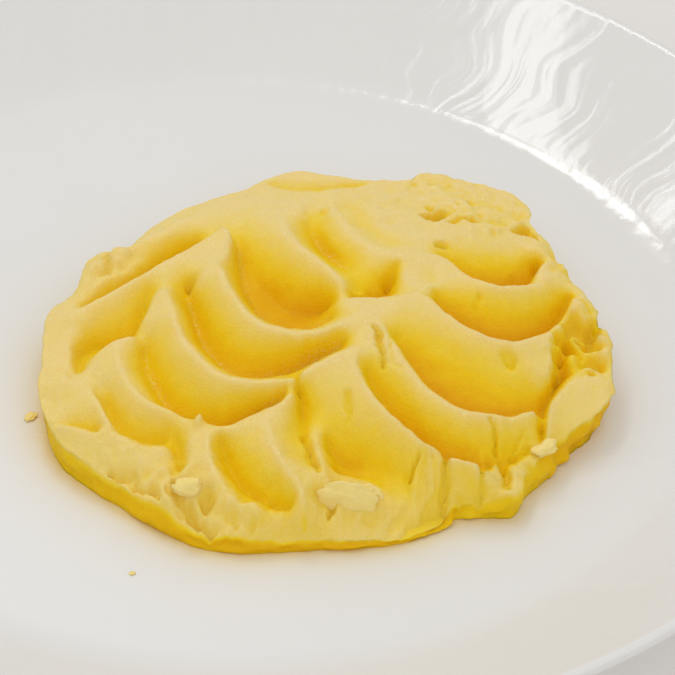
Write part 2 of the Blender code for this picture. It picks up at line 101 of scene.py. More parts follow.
# Crests that the spoon pushed up, and creases where its edge ran: (x, y, height).
CRESTS = {
    "back_left_rim": ((-31, -3.5, 11.8), (-29.7, 1, 13), (-27.8, 5.5, 13.3), (-24.3, 8.7, 14.3),
                      (-19, 11.5, 15), (-13, 17, 15.5), (-6, 22, 15.5), (0, 28, 15)),
    "back_left_fold": ((-29.7, -2.3, 12), (-27, 0.3, 12.8), (-24.5, 2, 13), (-22.5, 4.5, 13),
                       (-21, 8, 13.5)),
    "straight_ridge": ((-34, -12, 12), (-26.5, -7.6, 15), (-13.5, 1.4, 18), (-8, 5.9, 19),
                       (-4.8, 8.6, 20.3)),
    "ridge_knob": ((-5, 8.6, 20.3), (-3.2, 9.9, 21), (-1.8, 7.6, 20.7), (-2.3, 3.1, 19.8),
                   (-3.5, -0.9, 20)),
    "left_rim": ((-33.5, -11.5, 11.5), (-32, -16.5, 11), (-31, -21.5, 10.5), (-31, -26.5, 10)),
    "left_panel": ((-31.5, -29, 11), (-28, -30, 11.5), (-25.5, -32, 12), (-24, -35, 12),
                   (-22.5, -38.5, 11.7), (-20.5, -41.5, 11)),
    "left_flange": ((-33, -38.5, 8), (-30.5, -39, 8.7), (-27, -40.5, 9.2), (-24, -42, 9.3),
                    (-19.5, -42.5, 10), (-17, -44, 10), (-14, -45, 9.5), (-11, -45, 10), (-9.5, -47, 9)),
    "left_outer_shoulder": ((-17.3, -18.1, 14.9), (-19.5, -19.1, 14.9), (-21.5, -20.1, 14.9),
                            (-23.5, -20.9, 14.3), (-25, -22.6, 13.5), (-26, -24.6, 12.5)),
    "left_outer": ((-22.3, -22, 14.9), (-22, -24, 14.7), (-21.4, -26.3, 14.4), (-20.2, -29, 14.2),
                   (-18.6, -32, 13.8), (-16.6, -34.5, 13.5), (-13.9, -36.7, 13.3), (-10.9, -38, 13.1),
                   (-7.9, -39, 13)),
    "left_outer_flank": ((-27, -25.7, 11.7), (-25.3, -28.5, 11.3), (-23.7, -31, 10.9)),
    "left_middle_shoulder": ((-14.2, -6.5, 18), (-15.5, -9.5, 17), (-16.2, -12.5, 16.3),
                             (-16.3, -16.2, 15.5)),
    "left_middle": ((-13.9, -6, 18.3), (-13, -10.5, 18.3), (-11.9, -15, 18.3), (-10.4, -19.3, 18.2),
                    (-8.4, -23.5, 18), (-6.7, -26.7, 17.9), (-4.4, -29.7, 17.7), (-1.9, -32, 17.5),
                    (1.1, -33.5, 17.4), (4.1, -34, 17.5), (8.1, -34.2, 17.8), (11.6, -33, 18.2),
                    (15.1, -31.3, 18.8), (19.1, -28.7, 19.6), (22.6, -26.2, 20.4)),
    "left_inner_shoulder": ((-4.5, -2.5, 20.3), (-6, -4, 19.3), (-7.5, -5.3, 18.3)),
    "left_inner": ((-3.4, -1.7, 20.7), (-2.4, -5.5, 20.7), (-0.9, -9.5, 20.6), (0.6, -13.3, 20.5),
                   (2.6, -16.7, 20.4), (5.1, -19.5, 20.3), (8.1, -21.5, 20.3), (11.1, -22.5, 20.3),
                   (14.1, -22.8, 20.5), (18.1, -21.7, 20.9), (22.6, -18.7, 21.3), (27.1, -16.3, 21.5)),
    "left_heart": ((1, 28, 14.5), (5, 22, 16.6), (8.3, 15, 19), (10, 8, 20.8), (13.3, 2.5, 21.5),
                   (17.5, -2.3, 21.6), (20.5, -5.7, 20.9), (22.3, -7.7, 20.5)),
    "back_lip": ((3.5, 32, 13.7), (11.5, 30.5, 14.5), (19.5, 31.5, 14.5), (26, 34, 14.2)),
    "back_fold_one": ((11, 24, 17), (12.5, 19, 17.7)),
    "back_fold_two": ((17.5, 24.5, 17), (19.5, 17.5, 18.6), (22, 12, 19.2), (25, 7.5, 19.7),
                      (29, 4.5, 19.7)),
    "back_fold_three": ((26.5, 28, 16), (27.5, 20.5, 17.3), (30, 15, 18), (34, 12.5, 18.3)),
    "right_back": ((31, 12.5, 18.5), (38, 13.5, 18), (44.5, 15.5, 17.3), (49, 17.5, 16), (54, 21, 14.5)),
    "right_back_rim": ((58.7, 4, 15.2), (61, 8.5, 14.5), (62.3, 13.5, 14), (61.7, 18, 13.5),
                       (59.5, 23, 13)),
    "right_inner": ((29, 3.5, 19.7), (36, 4.5, 19.3), (41, 5, 19), (44.5, 0, 19), (48.5, -2, 18.7),
                    (52.5, -2.3, 18), (58, 1, 16.3), (62.5, 6, 14.5), (66.5, 11.5, 12.5)),
    "middle_strut": ((37.5, 3, 19), (38.5, -1.5, 18), (38.2, -6, 19.3)),
    "middle_ledge": ((21.5, -11, 20.2), (23.5, -10.7, 20.3), (26, -10.3, 20.3), (28.5, -10.3, 20.4)),
    "middle_shelf": ((32.8, 1, 18.8), (33.7, -2.3, 18.7), (35.7, -4.5, 18.7)),
    "right_middle": ((29, -12.5, 20.5), (32, -11.3, 21), (37, -10.3, 21), (41, -14.3, 20.3),
                     (47.5, -18, 18.8), (53.5, -18.3, 17.3), (58.5, -15.3, 15.7), (63, -9.7, 14.5),
                     (65.3, -4.5, 13.5), (67.7, 1.5, 12.8)),
    "right_tear": ((63, -10.5, 14.5), (62, -15, 14), (61.5, -21, 12.5), (60, -23.5, 11.5)),
    "right_outer": ((28, -18, 21), (30.3, -22, 20), (32.2, -25.7, 19), (37.7, -33.3, 16.8),
                    (44, -36.3, 15.2), (52, -35.8, 13.7), (59.5, -31.3, 11.7)),
    "right_front": ((24, -25.5, 21), (24.3, -30.5, 19.3), (26.3, -34.3, 17.7), (29.7, -38.3, 16.3),
                    (37.3, -44.3, 13.7), (43, -46.5, 11.7), (49, -47, 10)),
    "right_flange": ((66.5, -21, 10.5), (62, -28, 10.5), (61, -31, 10), (61, -36, 9), (61.5, -38.5, 8.5)),
    "right_rim": ((68, 6.5, 12), (70.5, 1, 11.5), (72.5, -6, 11), (73, -14.5, 10.5), (72.5, -21.5, 10)),
    "front_tops": ((-7.5, -40.5, 13), (-5, -40, 13.3), (-3, -41.3, 13.3), (-1.5, -42.3, 13.3),
                   (1, -42.7, 13.3), (2.5, -41.7, 13.8), (5, -40.3, 14.8), (7, -39.3, 15.5),
                   (9.5, -38.8, 16.2), (11.5, -37.7, 17), (13, -35, 18.3)),
    "front_left_side": ((-6.3, -42.5, 12.3), (-6, -45.5, 11.3), (-5.7, -48.5, 10.3), (-4.7, -51.5, 9.3)),
    "front_left": ((-3.2, -42, 13.3), (-2.7, -46.5, 12.5), (-1.7, -51, 11.5), (0, -54, 10.2),
                   (3, -56.7, 9.2), (6, -58, 8.3), (8.5, -59, 7.3)),
    "front_middle": ((7.5, -40, 15.8), (8.5, -44.5, 15), (10, -49, 14), (12.5, -52.5, 12.7),
                     (14.5, -55.5, 11.5), (15.8, -58, 9.5), (16.3, -59.3, 7)),
    "front_web": ((17, -41.5, 13), (18, -46.5, 12), (18.7, -50, 10.8), (20, -52.5, 9.3),
                  (22.5, -53.5, 8)),
    "front_flake": ((21, -50.3, 6.5), (23, -49.7, 7.7), (25, -49.7, 7.7), (27, -50.3, 7.3),
                    (29, -51.3, 6.5)),
    "flange_foot": ((-14.5, -50, 8), (-11, -52.5, 7.7), (-9.5, -55.5, 6.7), (-8.7, -57.8, 5.3)),
}
CREASES = {
    "back_left_groove": ((-29.5, -6.3, 9.7), (-26.5, -3.5, 9.2), (-22.5, 0, 8.9), (-18.5, 3.5, 8.8),
                         (-15, 7, 9), (-11.5, 10.5, 9.5), (-8.5, 12.5, 11.5)),
    "left_pocket": ((-28.5, -24.5, 8.7), (-29.5, -19.5, 7.5), (-28.5, -16, 7.3), (-26, -14.7, 7.3),
                    (-23, -14.7, 7.3), (-20.3, -14.5, 7.7), (-18.3, -12.5, 9), (-18, -8.5, 11.3),
                    (-16.5, -4.5, 14.3)),
    "under_left_rim": ((-24.3, -30, 9), (-23, -33, 8.3), (-21.3, -36.5, 7.5), (-18.3, -39.7, 7),
                       (-14, -41, 6.7), (-11, -41, 7)),
    "under_left_panel": ((-34, -36.3, 8.3), (-30, -37.2, 7.3), (-27, -38.3, 7), (-24, -39.7, 7.3)),
    "under_left_outer": ((-17, -17.5, 11.7), (-15.7, -23, 10), (-13.7, -28, 9), (-11, -33, 8.3),
                         (-7, -36.5, 8), (-2, -38, 8), (3, -37.5, 8.5), (8, -35.5, 10.5),
                         (10.5, -34, 13)),
    "under_left_middle": ((-9.3, -3.5, 14), (-8.5, -8, 12.7), (-7, -13.5, 12), (-4.5, -19.5, 11.7),
                          (-1, -24.3, 11.5), (4, -26.7, 11.7), (10.5, -26, 12.3), (17.5, -23.3, 14.3),
                          (21.5, -21.5, 16.5)),
    "under_left_inner": ((-1.5, 18, 16.3), (-0.7, 14, 15.3), (-0.2, 9.5, 14.7), (0.3, 5.5, 14),
                         (1.2, 1, 13.5), (2.7, -4.5, 13), (5.5, -9, 12.7), (8.5, -12.5, 12.7),
                         (13.5, -14.5, 13), (19, -13.3, 15.5)),
    "heart_floor": ((3, 3, 14.7), (4.5, -0.5, 13.3), (7.5, -4, 12.5), (11, -7, 12.2), (15, -8, 12.3),
                    (18.7, -8, 13.5)),
    "under_left_heart": ((12.5, 20, 15.6), (14, 16.5, 15), (15.5, 12.8, 14.3), (17.3, 9.3, 14.3),
                         (19.8, 5.3, 15.5), (22.5, 1.5, 17)),
    "behind_back_lip": ((5, 34.3, 12.6), (11, 33, 12.8), (19.5, 33.8, 12.8), (25, 35.6, 13)),
    "under_back_fold_two": ((16, 21.5, 16), (17, 15, 16.8), (19, 9.5, 17.3), (22.5, 5.3, 17.7)),
    "under_back_fold_three": ((22, 26, 15.6), (23.5, 19, 16.5), (26.5, 14, 17.2), (31, 10, 17.8)),
    "middle_hole": ((22.7, -7.7, 16.5), (25, -7.3, 14.5), (27.5, -6, 13.3), (29.3, -3.2, 13.3),
                    (30.3, 0, 15), (31.2, 2.7, 17.2)),
    "under_right_inner": ((40.5, 8.5, 16), (42.8, 6, 13.3), (46.5, 3.3, 11), (50.5, 2, 9), (55, 3.3, 8.5),
                          (58.5, 7.5, 8.7), (60, 12.5, 10)),
    "under_right_middle": ((39, -5, 16.5), (41.3, -8.3, 13.5), (47, -12.5, 11.2), (53, -12.5, 10),
                           (59, -9.5, 9), (63.5, -4, 8.7), (66.7, 3, 9.5)),
    "under_right_outer": ((31.7, -18.7, 17), (34.5, -23, 13.5), (39.5, -28.3, 10.7), (46, -31, 9),
                          (53, -30.7, 8), (59.5, -26.5, 7.5), (63, -21, 7.7)),
    "under_right_front": ((26.5, -28, 16), (28.5, -32, 13.3), (33, -37.5, 10.3), (39, -41.7, 8),
                          (46, -43.3, 6.5), (51.5, -42, 6), (57.5, -38.3, 6.7)),
    "under_right_flange": ((65, -17.5, 7), (61.3, -24.5, 6.5), (60.2, -29.5, 5.9), (60.2, -34, 5.6),
                           (60.5, -37, 6.3)),
    "under_right_tear": ((65, -9, 10), (64.2, -12.5, 9), (63.7, -17, 8.3)),
    "front_left_notch": ((-9, -41, 8.5), (-8.5, -43, 7.3), (-8, -46, 6.5), (-7.5, -49, 6.3)),
    "under_front_left": ((-0.5, -43, 10), (0.5, -46, 8), (3, -50, 6.5), (6, -53, 5.5), (10, -55.3, 5),
                         (13, -56, 5)),
    "under_front_middle": ((13, -31.3, 14.7), (14, -35, 12.3), (15, -40, 11.3), (16, -44, 11),
                           (17, -48, 9.8)),
    "front_pocket": ((19.5, -42, 9), (21, -43.7, 7.5), (23.3, -44.5, 6.3), (25.5, -44.7, 6.6),
                     (28.5, -45.3, 7.4), (31.5, -46.3, 7.4), (34, -47.5, 7)),
    "front_pocket_floor": ((21.5, -46.5, 5.8), (25, -46.7, 6), (28.5, -47.8, 6.2), (32, -50, 5.6),
                           (34.5, -52.5, 4.6)),
}

# Creases along which pale dots of painted glint are drawn on the mash.
GLINT_CREASES = ("under_left_outer", "under_left_middle", "under_left_inner", "under_left_heart")

# Scratches and cracks: (points (x, y), half width, depth).
GROOVES = (
    (((41.3, -45.5), (41.5, -48), (40.7, -50.7), (38.8, -53.3), (36.3, -56.5)), 1.1, 3.4),
    (((37.5, -45), (37.9, -48.5), (37, -51.5), (34.7, -55.5)), 0.9, 1.1),
    (((39.5, -46), (39.7, -48), (38.9, -50.5), (37, -53.5), (34.5, -57.5)), 0.5, 1.2),
    (((34.5, -47), (35.3, -50), (34.3, -53), (32.5, -56)), 1, 0.7),
    (((35.9, -45.3), (35.8, -47.3)), 0.5, 2.4),
    (((50.2, -36.3), (50.5, -38), (50.9, -40.3)), 0.4, 1.6),
    (((53.5, -38), (56, -36.5)), 0.4, 0.9),
    (((53.3, -39.7), (56.5, -38.3)), 0.35, 0.9),
    (((27.3, -19.5), (28.3, -23.5), (30.2, -27.7)), 0.5, 2),
    (((29.6, -21.5), (30.9, -25.4), (32.3, -28.3)), 0.3, 0.6),
    (((22.9, -34.7), (23.1, -36.3), (23, -37.8)), 0.6, 1.1),
    (((22.7, -38.2), (22.2, -39.4)), 0.35, 0.7),
    (((15.2, -41.5), (15.6, -43.4), (16.4, -45.5), (17.2, -48)), 0.4, 1.3),
    (((17.5, -47.7), (17.9, -50)), 0.4, 1.3),
    (((-20.5, -48.3), (-18, -49.2), (-14, -51.4), (-11, -53.8)), 0.6, 1.8),
    (((-8.4, -52), (-7.7, -54.5), (-6.4, -56.5), (-4.1, -58.2), (-1, -60)), 0.8, 2.6),
    (((-0.5, -57), (3, -59), (7, -60)), 0.7, 1.2),
    (((48.2, -46.5), (48.5, -49), (47.8, -50)), 0.6, 2.2),
    (((52.5, -44), (53.8, -46)), 0.6, 1.8),
    (((51.5, -42.3), (52.3, -44)), 0.8, 2.2),
    (((44.5, -50), (48, -51.3)), 0.5, 1.2),
    (((20.5, -54.5), (20.1, -56.5)), 0.6, 1.8),
    (((-27, 8.7), (-26.2, 6), (-26, 2.8)), 0.7, 1.4),
    (((37.3, 21.5), (39, 22.3), (41, 23.2)), 1.1, 3.4),
    (((43, 20.5), (44.5, 22), (46.3, 21.8)), 1, 3),
    (((47.3, 21.8), (49.5, 21)), 0.6, 1.6),
    (((56.3, 21), (57.7, 22.3), (59.3, 21)), 0.9, 3),
    (((63.3, -10.5), (62.8, -15), (62.3, -20)), 0.6, 2.4),
)

# Holes and lumps: (x, y, radius, depth or height).
PITS = (
    (53.6, -20.9, 1.1, 1.3), (38.3, 25.6, 0.8, 1.5), (40.7, 11.2, 1.1, 2.4), (47.4, -5.2, 0.6, 0.8),
    (46.9, -6.3, 0.5, 0.6), (66.3, -6, 2, 4.6), (70.3, -5.5, 2.3, 5.2), (70, -9.5, 2, 4.6),
    (71, -15, 1.2, 1.8), (69.3, -18.7, 1.3, 2.2), (-8.9, -3, 0.9, 1.8), (-2.2, -55.5, 1.3, 3.2),
    (46.4, -51.3, 1, 2), (50.1, -51.2, 1, 2), (24.5, -8, 0.9, 1.2), (30, -0.5, 1, 1.6),
)
LUMPS = (
    (66.7, -10.5, 1.8, 1.6), (66.5, -15, 1.8, 1.6), (72, -12.5, 1.5, 1.6), (68, -8, 0.8, 1.2),
    (60.5, -40.5, 2.2, 1.3), (-29.3, 4, 2, 1.2), (-24.2, 7.7, 2.2, 1), (49.6, 18.9, 1.7, 1.3),
    (51.8, 19.5, 1.2, 1), (25.2, -6.2, 1.6, 1.9), (27.2, -6.3, 1, 1.1), (-5, -40.7, 0.8, 1.6),
    (-33, -27.5, 2.5, 0.8), (56.3, 2.3, 0.9, 0.7),
)

# Torn, finely grained and softly lumpy ground: (x, y, radius, roughness in height).
TORN = (
    (50, -47, 6, 1.1), (57, -42, 4, 0.9), (68, -12, 7, 1.8), (66, 14, 6, 1.1), (70, -2, 5, 1.1),
    (-28, 7, 5, 0.6), (-11, -52, 6, 0.8), (20, -55, 5, 0.9), (3, -59, 5, 0.9), (-34, -33, 5, 0.5),
    (17, -46, 3, 0.45), (-18, -45, 6, 0.4), (54, -38, 5, 0.5), (43, 22.5, 6, 0.6), (36, 36, 5, 0.5),
    (52, 24, 6, 0.4), (58, 5, 6, 0.3), (25, -54, 5, 0.8),
)
GRAINY = (
    (46, 29, 14, 0.3), (30, 26, 12, 0.2), (56, 26, 8, 0.3), (20, 22, 8, 0.18), (66, 10, 6, 0.3),
    (50, -44, 8, 0.3), (-30, 5, 7, 0.25), (-20, -45, 9, 0.2), (62, -38, 8, 0.1), (10, -57, 14, 0.3),
    (30, -55, 9, 0.3),
)

LUMPY = (
    (46, 28, 12, 0.9), (58, 27, 6, 0.8), (34, 24, 9, 0.5), (22, 24, 8, 0.4), (65, 12, 7, 0.9),
    (71, -5, 6, 0.8), (-30, 6, 7, 0.6), (-26, -34, 8, 0.25), (-14, 16, 8, 0.3), (60, -36, 7, 0.3),
)

# Loose pieces: (x, y, height of the middle, half length, half width, half height, turn, lean),
# with the turn and the lean in degrees.
LOOSE = (
    (-5.8, -54.2, 8.9, 2.7, 1.6, 1.8, 10, 0), (22.6, -53.2, 6.2, 5.6, 1.5, 4.2, 0, -4),
    (26.8, -52.2, 7.4, 3, 1.1, 1.9, -12, -8), (60.5, -37.3, 7, 2.8, 1.5, 1.3, 38, 0),
    (-38.3, -27, 0.3, 1.5, 0.9, 0.3, 60, 0), (-15, -68.5, 0.2, 0.6, 0.4, 0.2, 10, 0),
)


# ---------------------------------------------------------------- shader maths

class Sum:
    """A socket of a material's nodes; arithmetic on it adds Math or Vector Math nodes."""

    def __init__(self, tree, socket):
        self.tree, self.socket = tree, socket

    def _math(self, operation, *values):
        return self.tree.node("ShaderNodeMath", {"operation": operation}, dict(enumerate(values)))

    def __add__(self, other):
        return self._math("ADD", self, other)

    __radd__ = __add__

    def __mul__(self, other):
        return self._math("MULTIPLY", self, other)

    __rmul__ = __mul__

    def __sub__(self, other):
        return self._math("SUBTRACT", self, other)

    def __rsub__(self, other):
        return self._math("SUBTRACT", other, self)

    def __pow__(self, other):
        return self._math("POWER", self, other)

    def clamp(self):
        return self.tree.node("ShaderNodeClamp", {}, {"Value": self})

    def above(self, low, high):
        """0 below low, 1 above high, smooth between."""
        return self.tree.node("ShaderNodeMapRange", {"interpolation_type": "SMOOTHSTEP"},
                              {"Value": self, "From Min": low, "From Max": high})


class Finish:
    """A material with one Principled shader, and the ways of adding nodes that feed it."""

    def __init__(self, name, **constants):
        self.material = bpy.data.materials.new(name)
        self.material.use_nodes = True
        self.nodes = self.material.node_tree.nodes
        self.links = self.material.node_tree.links
        self.shader = self.nodes["Principled BSDF"]
        for socket, value in constants.items():
            self.shader.inputs[socket.replace("_", " ")].default_value = value

    def node(self, kind, settings, inputs, output=0):
        made = self.nodes.new(kind)
        for key, value in settings.items():
            setattr(made, key, value)
        for key, value in inputs.items():
            if isinstance(value, Sum):
                self.links.new(value.socket, made.inputs[key])
            else:
                made.inputs[key].default_value = value
        return Sum(self, made.outputs[output])

    def attribute(self, name):
        return self.node("ShaderNodeAttribute", {"attribute_name": name}, {}, "Fac")

    def place(self, scale=1.0):
        """Object coordinates in millimetres, times scale."""
        here = self.node("ShaderNodeTexCoord", {}, {}, "Object")
        return self.node("ShaderNodeVectorMath", {"operation": "SCALE"}, {0: here, "Scale": scale / MM})

    def part_of(self, vector, axis):
        return self.node("ShaderNodeSeparateXYZ", {}, {"Vector": vector}, axis)

    def noise(self, scale, detail=3.0, roughness=0.5, **more):
        return self.node("ShaderNodeTexNoise", {}, {"Vector": self.place(scale), "Scale": 1.0,
                         "Detail": detail, "Roughness": roughness, **more}, "Fac")

    def mix(self, share, a, b):
        made = self.nodes.new("ShaderNodeMix")
        made.data_type = "RGBA"
        for socket, value in ((made.inputs[0], share), (made.inputs[6], a), (made.inputs[7], b)):
            if isinstance(value, Sum):
                self.links.new(value.socket, socket)
            else:
                socket.default_value = (*value, 1) if isinstance(value, tuple) else value
        return Sum(self, made.outputs[2])

    def ramp(self, share, stops):
        """Colours at shares from 0 to 1, with straight blends between."""
        made = self.nodes.new("ShaderNodeValToRGB")
        places = made.color_ramp.elements
        while len(places) < len(stops):
            places.new(1.0)
        for place, (at, colour) in zip(places, stops):
            place.position, place.color = at, (*colour, 1)
        self.links.new(share.socket, made.inputs["Fac"])
        return Sum(self, made.outputs["Color"])

    def bump(self, height, distance, strength=1.0, normal=None):
        inputs = {"Height": height, "Distance": distance * MM, "Strength": strength}
        if normal:
            inputs["Normal"] = normal
        return self.node("ShaderNodeBump", {}, inputs, "Normal")

    def feed(self, **sockets):
        for socket, value in sockets.items():
            self.links.new(value.socket, self.shader.inputs[socket.replace("_", " ")])
        return self.material


def mash_finish():
    """Pale on the open crests, deep gold in the scoops, and deepest in those on the right: the gold is
    painted shade, with painted glints along the creases and on the crests.
    """
    finish = Finish("mashed_potato", Subsurface_Weight=0.3, Subsurface_Scale=0.0015, IOR=1.38,
                    Specular_IOR_Level=0.25, Coat_Roughness=0.2, Coat_IOR=1.35)
    finish.shader.inputs["Subsurface Radius"].default_value = (1.0, 0.7, 0.2)
    # Painted shade: the colour deepens from pale to dark gold with the sky shut out (hollow) and the depth
    # under the crests.
    painted_shade = 0.35 * finish.attribute("hollow") + 0.65 * finish.attribute("depth")
    # The painted shade deepens towards the right, where the scoops lie turned away from the light.
    painted_shade = painted_shade * (0.78 + 0.0055 * finish.part_of(finish.place(), "X"))
    grain = finish.noise(1.6, 4.0, 0.6)
    fine = finish.noise(3.2, 2.0, 0.6)
    lumps = finish.noise(0.3, 2.0, 0.5)
    # Beads of moisture: they lower the roughness and raise the coat, and also give painted glints in the
    # colour.
    beads_and_glints = fine.above(0.56, 0.66)
    crest_glints = finish.noise(1.9, 1.0, 0.5).above(0.56, 0.68)
    colour = finish.ramp(painted_shade + 0.14 * (lumps - 0.5), (
        (0.0, (0.89, 0.675, 0.25)), (0.17, (0.905, 0.675, 0.15)), (0.34, (0.915, 0.66, 0.045)),
        (0.5, (0.91, 0.62, 0.003)), (0.68, (0.88, 0.54, 0)), (0.85, (0.83, 0.45, 0)), (1.0, (0.79, 0.39, 0))))
    open_share = (1 - painted_shade).clamp()
    # Painted glints: pale dots along the creases, and pale specks on the open crests.
    painted_glints = 0.7 * beads_and_glints * finish.attribute("crease_glints") + 0.3 * crest_glints * open_share ** 4
    colour = finish.mix(painted_glints, colour, (0.94, 0.82, 0.46))
    return finish.feed(Base_Color=colour, Roughness=0.44 + 0.2 * lumps - 0.15 * beads_and_glints,
                       Coat_Weight=(0.1 + 0.4 * beads_and_glints) * open_share,
                       Normal=finish.bump(fine, 0.16, 0.5, finish.bump(grain, 0.25, 0.6)))


def crumb_finish():
    finish = Finish("potato_crumb", IOR=1.3, Specular_IOR_Level=0.1)
    grain = finish.noise(1.6, 3.0, 0.6)
    colour = finish.mix(grain, (0.93, 0.71, 0.20), (0.95, 0.79, 0.33))
    return finish.feed(Base_Color=colour, Roughness=0.4 + 0.2 * grain, Normal=finish.bump(grain, 0.2, 0.5))


def glaze_finish():
    """White glaze: wavy on the wall, and tinted yellow round the foot of the heap as painted shadow."""
    finish = Finish("plate_glaze", IOR=1.5, Coat_Roughness=0.02)
    speck = finish.noise(0.05, 2.0, 0.5)
    colour = finish.mix(speck, (0.80, 0.792, 0.78), (0.82, 0.813, 0.805))
    # Painted shadow: a yellow tint on the glaze round the foot of the mash, where its shadow and yellow
    # bounce fall.
    painted_yellow_shadow = finish.attribute("painted_yellow_shadow") * (0.75 + 0.5 * finish.noise(0.3, 2.0, 0.5))
    colour = finish.mix(painted_yellow_shadow.clamp(), colour, (0.74, 0.55, 0.16))
    x, y = finish.part_of(finish.place(), "X"), finish.part_of(finish.place(), "Y")
    reach = (x * x + y * y) ** 0.5
    turn = finish.node("ShaderNodeMath", {"operation": "ARCTAN2"}, {0: y, 1: x})
    drift = finish.node("ShaderNodeCombineXYZ", {}, {"X": turn * 3.0, "Y": reach * 0.06})
    sway = finish.node("ShaderNodeTexNoise", {}, {"Vector": drift, "Scale": 1.0, "Detail": 1.0}, "Fac")
    along = finish.node("ShaderNodeCombineXYZ", {}, {"X": turn * RIPPLES + sway * SWAY, "Y": reach * 0.03})
    ripple = finish.node("ShaderNodeTexNoise", {}, {"Vector": along, "Scale": 1.0, "Detail": 1.4}, "Fac")
    dimple = finish.noise(0.16, 2.0, 0.5)
    wavy = ripple * reach.above(WELL_RADIUS - 2, WELL_RADIUS + 8)
    wavy = wavy + 0.3 * dimple * reach.above(78, WELL_RADIUS)
    bumps = finish.bump(wavy, 0.3, 1.0)
    near_side = 1 - y.above(-60, 10)
    return finish.feed(Base_Color=colour, Roughness=0.08 + 0.08 * speck + 0.25 * near_side,
                       Coat_Weight=0.35 - 0.35 * near_side, Normal=bumps)


def table_finish():
    finish = Finish("table_paint", Roughness=0.6, Emission_Strength=0.25)
    patch = finish.noise(0.02, 3.0, 0.5)
    colour = finish.mix(patch, (0.51, 0.49, 0.47), (0.53, 0.51, 0.49))
    return finish.feed(Base_Color=colour, Emission_Color=finish.mix(patch, (1, 0.96, 0.92), (1, 0.97, 0.94)))


# ---------------------------------------------------------------- relief of the mash

def smooth_line(points, step=0.4, closed=False):
    """Catmull-Rom curve through the points, sampled about every step."""
    p = np.array(points, float)
    if closed:
        p = np.vstack([p[-1], p, p[:2]])
    else:
        p = np.vstack([2 * p[0] - p[1], p, 2 * p[-1] - p[-2]])
    pieces = []
    for a, b, c, d in zip(p, p[1:], p[2:], p[3:]):
        t = np.linspace(0, 1, max(2, int(np.linalg.norm(c - b) / step)), endpoint=False)[:, None]
        pieces.append(0.5 * (2 * b + (c - a) * t + (2 * a - 5 * b + 4 * c - d) * t**2
                             + (3 * b - a - 3 * c + d) * t**3))
    return np.vstack(pieces + ([] if closed else [p[-2:-1]]))


